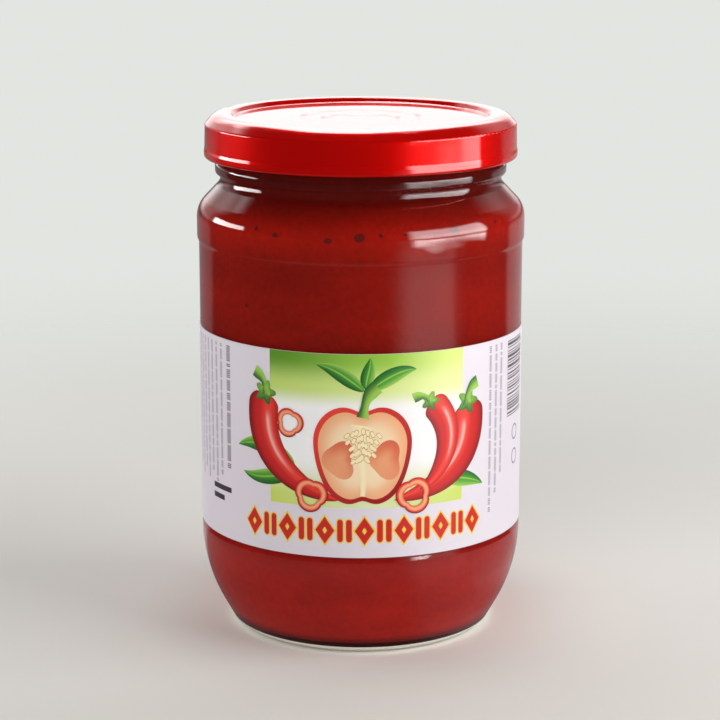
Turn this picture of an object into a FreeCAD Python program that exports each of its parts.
import FreeCAD, Part

import math
import os

# A glass jar of pepper puree, shut with a twist-off metal lid and wrapped in a paper label.
# Millimetres. The jar stands on z = 0 on the Z axis, and the front of the label faces -Y.
# Every turned outline is a list of corners (radius from the axis, height, rounding radius).

# --- Glass: overall sizes ---
body_dia = 91.0  # over the shoulder band, the widest place
glass_height = 143.45  # standing ring to rim
wall = 2.2  # side wall
shoulder_wall = 2.5  # the wall gets thicker where the shoulder draws in

# --- Glass: base and heel ---
heel_inset = 9.3  # heel band to where the heel's slope would meet the table
base_corner_radius = 4.3
standing_ring_width = 3.0  # flat ring that the jar stands on
push_up = 4.2  # rise of the hollow under the base
push_up_flat_dia = 34.0  # level middle of that hollow
push_up_radius = 26.0
ring_inner_radius = 2.0
floor_wall = 3.6  # glass between the hollow and the puree
heel_floor = 3.4  # glass under the inside corner
heel_angle = 29.4  # slope of the heel, from the vertical
heel_radius = 45.0  # long sweep from the heel's slope into the side
heel_wall = 2.8
inner_corner_radius = 6.0
heel_band_drop = 0.3  # the heel band is this much inside the shoulder band

# --- Glass: recessed label panel between the heel and shoulder bands ---
panel_recess = 0.5  # depth below the shoulder band
panel_step = 1.2  # height over which a band fades into the panel
step_radius = 2.0
heel_band_height = 0.3
shoulder_band_height = 6.4

# --- Glass: shoulder and neck ---
shoulder_angle = 43.7  # slope of the shoulder, from the vertical
shoulder_radius = 7.0
inner_shoulder_radius = 5.0
neck_dia = 77.8
neck_band = 1.8  # shoulder's slope to the underside of the transfer bead
neck_radius = 3.0

# --- Glass: finish, the threaded mouth ---
finish_wall = 3.0  # bore to the outside of the mouth
bore_radius = 4.0  # rounding where the bore opens into the shoulder
rim_radius = 1.2
bead_height = 3.7  # transfer bead, under the lid's edge
bead_stand_out = 1.4  # beyond the neck
bead_slope = 0.7
bead_radius = 1.0
lead_count = 6  # short sloping thread leads, one for each lug
lead_stand_out = 1.7  # beyond the finish wall
lead_span = 39.0  # degrees each lead runs round the finish
lead_rise = 1.3  # climb of a lead from its locking end to its entry
lead_root_height = 1.9
lead_tip_height = 1.1
lead_end_height = 0.5  # the leads thin out at their ends
lead_root = 0.3  # depth that a lead is sunk into the finish

# --- Lid: drawn sheet steel, lacquered ---
sheet = 0.35
lid_height = 12.0
seal_gap = 0.5  # room for the sealing compound between rim and lid
skirt_clearance = 2.2  # thread leads to the inside of the skirt
lid_over_bead = 1.2  # lid's lower edge to the top of the transfer bead
crest_over_finish = 1.4  # the raised ring reaches this far beyond the rim, before its rounding
crest_radius = 4.0
crown_drop = 2.8  # crest down to the edge where the skirt starts
crown_edge_inset = 0.2
crown_edge_radius = 0.8
panel_depth = 1.3  # crest down to the lid's flat panel
panel_clearance = 0.9  # bore to the wall of the sunk panel
ring_wall_run = 0.9  # slant of that wall
ring_wall_radius = 0.6
panel_ring_step = 0.35
button_ring_width = 4.6  # flat ring between the panel's shallow step and the button's
button_dia = 20.0  # safety button, drawn down by the vacuum
button_step = 0.45
step_run = 1.2  # width of those two steps
soft_radius = 1.0
curl_stand_out = 0.15  # the curl bulges beyond the skirt
curl_height = 1.9
curl_width = 1.9
curl_radius = 0.85
curl_neck = 0.8  # height over which the skirt flares into the curl
curl_lip = 0.6  # free edge of the sheet, turned up inside the curl
lug_span = 15.0  # degrees
lug_thickness = 0.9
lug_reach = 0.9  # how far a lug reaches under its lead
lug_clearance = 0.15
lug_radius = 0.35

# --- Label: one sheet of paper glued round the panel, lapped at the back ---
paper = 0.15
glue_gap = 0.05
label_bottom_margin = 0.3  # above the panel's lower step
label_top_margin = 23.1  # below the panel's upper step
label_lap = 10.0
label_ramp = 3.0  # where the paper climbs onto its own edge

# --- Puree ---
fill_drop = 10.5  # headspace, rim to puree
fill_gap = 0.2
fill_edge_radius = 1.5

# --- Radii and heights that follow from the sizes above ---
shoulder_band_r = body_dia / 2
panel_r = shoulder_band_r - panel_recess
heel_band_r = shoulder_band_r - heel_band_drop
inside_r = panel_r - wall
base_corner_r = heel_band_r - heel_inset
neck_r = neck_dia / 2
bore_r = neck_r - finish_wall
lead_r = neck_r + lead_stand_out
skirt_r = lead_r + skirt_clearance + sheet
curl_r = skirt_r + curl_stand_out

lid_top = glass_height + seal_gap + sheet
lid_bottom = lid_top - lid_height
bead_top = lid_bottom - lid_over_bead
bead_bottom = bead_top - bead_height
neck_foot = bead_bottom - neck_band
lug_top = lid_bottom + lug_thickness
lead_low = lug_top + lug_clearance


def slope(degrees):
    """Radius gained for each unit of height on a slope measured from the vertical."""
    return math.tan(math.radians(degrees))


# The outer heel slope meets the side, and the outer shoulder slope meets the band, at these heights.
heel_knee = heel_inset / slope(heel_angle)
heel_top = heel_knee + heel_radius * math.tan(math.radians(heel_angle / 2))
shoulder_knee = neck_foot - (shoulder_band_r - neck_r) / slope(shoulder_angle)
panel_bottom = heel_top + heel_band_height + panel_step
panel_top = shoulder_knee - shoulder_band_height - panel_step - step_radius
label_bottom = panel_bottom + label_bottom_margin
label_top = panel_top - label_top_margin


def point(r, z):
    return FreeCAD.Vector(r, 0, z)


def rounded_edges(corners, closed):
    """Straight edges through the corners, with a tangent arc at each corner that has a radius."""
    count = len(corners)
    edges = []
    start = None
    last = None
    for index, (r, z, radius) in enumerate(corners):
        here = point(r, z)
        if radius > 0:
            back = (point(*corners[index - 1][:2]) - here).normalize()
            ahead = (point(*corners[(index + 1) % count][:2]) - here).normalize()
            half = math.acos(max(-1, min(1, back.dot(ahead)))) / 2
            reach = radius / math.tan(half)
            middle = (back + ahead).normalize() * (radius / math.sin(half) - radius)
            entry = here + back * reach
            leave = here + ahead * reach
            arc = Part.Arc(entry, here + middle, leave).toShape()
        else:
            entry = here
            leave = here
            arc = None
        if last is not None:
            edges.append(Part.LineSegment(last, entry).toShape())
        else:
            start = entry
        if arc is not None:
            edges.append(arc)
        last = leave
    if closed:
        edges.append(Part.LineSegment(last, start).toShape())
    return edges


def turned(corners):
    """Solid of revolution about Z of the closed outline through the corners."""
    face = Part.Face(Part.Wire(rounded_edges(corners, closed=True)))
    return face.revolve(FreeCAD.Vector(0, 0, 0), FreeCAD.Vector(0, 0, 1), 360)


def outside_corners():
    """Outside of the glass, from the middle of the base up to the rim."""
    ring_inner_r = (
        base_corner_r
        - base_corner_radius * math.tan(math.radians(45 - heel_angle / 2))
        - standing_ring_width
    )
    finish_top = bead_top + bead_slope
    return [
        (0, push_up, 0),
        (push_up_flat_dia / 2, push_up, push_up_radius),
        (ring_inner_r, 0, ring_inner_radius),
        (base_corner_r, 0, base_corner_radius),
        (heel_band_r, heel_knee, heel_radius),
        (heel_band_r, heel_top + heel_band_height, step_radius),
        (panel_r, panel_bottom, step_radius),
        (panel_r, panel_top, step_radius),
        (shoulder_band_r, panel_top + panel_step, step_radius),
        (shoulder_band_r, shoulder_knee, shoulder_radius),
        (neck_r, neck_foot, neck_radius),
        (neck_r, bead_bottom, bead_slope / 2),
        (neck_r + bead_stand_out, bead_bottom + bead_slope, bead_radius),
        (neck_r + bead_stand_out, bead_top - bead_slope, bead_radius),
        (neck_r, finish_top, bead_slope / 2),
        (neck_r, glass_height, rim_radius),
    ]


def inside_corners(gap):
    """Inside of the glass moved towards the axis and up by a gap, from the mouth to the middle."""
    side_r = inside_r - gap
    heel_cos = math.cos(math.radians(heel_angle))
    shoulder_cos = math.cos(math.radians(shoulder_angle))
    floor = push_up + floor_wall + gap
    corner_z = heel_floor + gap
    # The slopes run parallel to the outer ones, one wall further in.
    heel_foot_r = base_corner_r - (heel_wall + gap) / heel_cos
    corner_r = heel_foot_r + corner_z * slope(heel_angle)
    knee_z = (side_r - heel_foot_r) / slope(heel_angle)
    slope_r = shoulder_band_r - (shoulder_wall + gap) / shoulder_cos
    shoulder_z = shoulder_knee - (side_r - slope_r) / slope(shoulder_angle)
    mouth_r = bore_r - gap
    mouth_z = shoulder_knee + (slope_r - mouth_r) / slope(shoulder_angle)
    return [
        (mouth_r, mouth_z, bore_radius + gap),
        (side_r, shoulder_z, inner_shoulder_radius - gap),
        (side_r, knee_z, heel_radius - heel_wall - gap),
        (corner_r, corner_z, inner_corner_radius - gap),
        (push_up_flat_dia / 2, floor, push_up_radius + floor_wall + gap),
        (0, floor, 0),
    ]


def thread_lead(start):
    """One sloping lead on the finish, lofted through upright sections round part of a turn."""
    sections = []
    steps = 6
    for step in range(steps + 1):
        share = step / steps
        angle = math.radians(start + lead_span * share)
        low = lead_low + lead_rise * share
        fade = lead_end_height if step in (0, steps) else 1.0
        root = lead_root_height * fade
        tip = lead_tip_height * fade
        outer_r = neck_r + lead_stand_out * fade
        outline = [
            (neck_r - lead_root, low),
            (outer_r, low),
            (outer_r, low + tip),
            (neck_r - lead_root, low + root),
        ]
        ring = [FreeCAD.Vector(r * math.cos(angle), r * math.sin(angle), z) for r, z in outline]
        sections.append(Part.makePolygon(ring + ring[:1]))
    return Part.makeLoft(sections, True, True)


def glass_jar():
    mouth = (bore_r, glass_height, rim_radius)
    glass = turned(outside_corners() + [mouth] + inside_corners(0))
    leads = [thread_lead(360 / lead_count * number) for number in range(lead_count)]
    return glass.fuse(leads).removeSplitter()


def pepper_puree():
    level = glass_height - fill_drop
    surface = [(0, level, 0), (bore_r - fill_gap, level, fill_edge_radius)]
    return turned(surface + inside_corners(fill_gap))


def lid_corners():
    """Outside of the lid's sheet, from the middle of the button to its free edge in the curl."""
    panel_z = lid_top - panel_depth
    ring_z = panel_z - panel_ring_step
    button_z = ring_z - button_step
    wall_foot_r = bore_r - panel_clearance
    wall_top_r = wall_foot_r + ring_wall_run
    crest_r = neck_r + crest_over_finish
    button_r = button_dia / 2
    panel_ring_r = button_r + step_run + button_ring_width
    curl_top = lid_bottom + curl_height
    curl_inner_r = curl_r - curl_width
    return [
        (0, button_z, 0),
        (button_r, button_z, soft_radius),
        (button_r + step_run, ring_z, soft_radius),
        (panel_ring_r, ring_z, soft_radius),
        (panel_ring_r + step_run, panel_z, soft_radius),
        (wall_foot_r, panel_z, ring_wall_radius),
        (wall_top_r, lid_top, ring_wall_radius),
        (crest_r, lid_top, crest_radius),
        (skirt_r - crown_edge_inset, lid_top - crown_drop, crown_edge_radius),
        (skirt_r, curl_top + curl_neck, soft_radius),
        (curl_r, curl_top, curl_radius / 2),
        (curl_r, lid_bottom, curl_radius),
        (curl_inner_r, lid_bottom, curl_radius),
        (curl_inner_r, lid_bottom + curl_height - sheet, curl_radius / 2),
        (curl_inner_r + curl_lip, lid_bottom + curl_height - sheet, 0),
    ]


def closure_lug(middle):
    """One lug: the curl pressed flat and inwards, to hook under a thread lead."""
    tip_r = lead_r - lug_reach
    root_r = curl_r - curl_width + sheet
    corners = [
        (root_r, lid_bottom, 0),
        (root_r, lug_top, 0),
        (tip_r, lug_top, lug_radius),
        (tip_r, lid_bottom, lug_radius),
    ]
    face = Part.Face(Part.Wire(rounded_edges(corners, closed=True)))
    face.rotate(FreeCAD.Vector(0, 0, 0), FreeCAD.Vector(0, 0, 1), middle - lug_span / 2)
    return face.revolve(FreeCAD.Vector(0, 0, 0), FreeCAD.Vector(0, 0, 1), lug_span)


def twist_off_lid():
    skin = Part.Wire(rounded_edges(lid_corners(), closed=False))
    section = skin.makeOffset2D(-sheet, 0, True, True, True)
    shell = section.revolve(FreeCAD.Vector(0, 0, 0), FreeCAD.Vector(0, 0, 1), 360)
    # Screwed home, each lug stands under the low, locking end of its lead.
    locked = lug_span / 2
    lugs = [closure_lug(360 / lead_count * number + locked) for number in range(lead_count)]
    return shell.fuse(lugs).removeSplitter()


def paper_label():
    """The wrap as an upright ring, with the lapped end lying on the start of the sheet."""
    inner = panel_r + glue_gap
    outer = inner + paper
    lapped = outer + paper
    back = math.pi / 2
    lap_start = back - label_lap / 2 / outer
    lap_end = back + label_lap / 2 / outer
    ramp_start = lap_start - label_ramp / outer

    def rim(radius, angle):
        return FreeCAD.Vector(radius * math.cos(angle), radius * math.sin(angle), label_bottom)

    front = back + math.pi
    edges = [
        Part.LineSegment(rim(outer, ramp_start), rim(lapped, lap_start)).toShape(),
        Part.Arc(rim(lapped, lap_start), rim(lapped, back), rim(lapped, lap_end)).toShape(),
        Part.LineSegment(rim(lapped, lap_end), rim(outer, lap_end)).toShape(),
        Part.Arc(rim(outer, lap_end), rim(outer, front), rim(outer, ramp_start)).toShape(),
    ]
    outside = Part.Face(Part.Wire(edges)).extrude(FreeCAD.Vector(0, 0, label_top - label_bottom))
    core = Part.makeCylinder(inner, label_top - label_bottom, FreeCAD.Vector(0, 0, label_bottom))
    return outside.cut(core)


parts = {
    "glass_jar": glass_jar(),
    "pepper_puree": pepper_puree(),
    "twist_off_lid": twist_off_lid(),
    "paper_label": paper_label(),
}

os.makedirs("parts", exist_ok=True)
for name, shape in parts.items():
    solids = shape.Solids
    print(name, "solids", len(solids), "valid", shape.isValid(), "volume", round(shape.Volume, 1))
    if len(solids) != 1:
        raise ValueError(name + " must be one solid")
    solids[0].exportStep("parts/" + name + ".step")
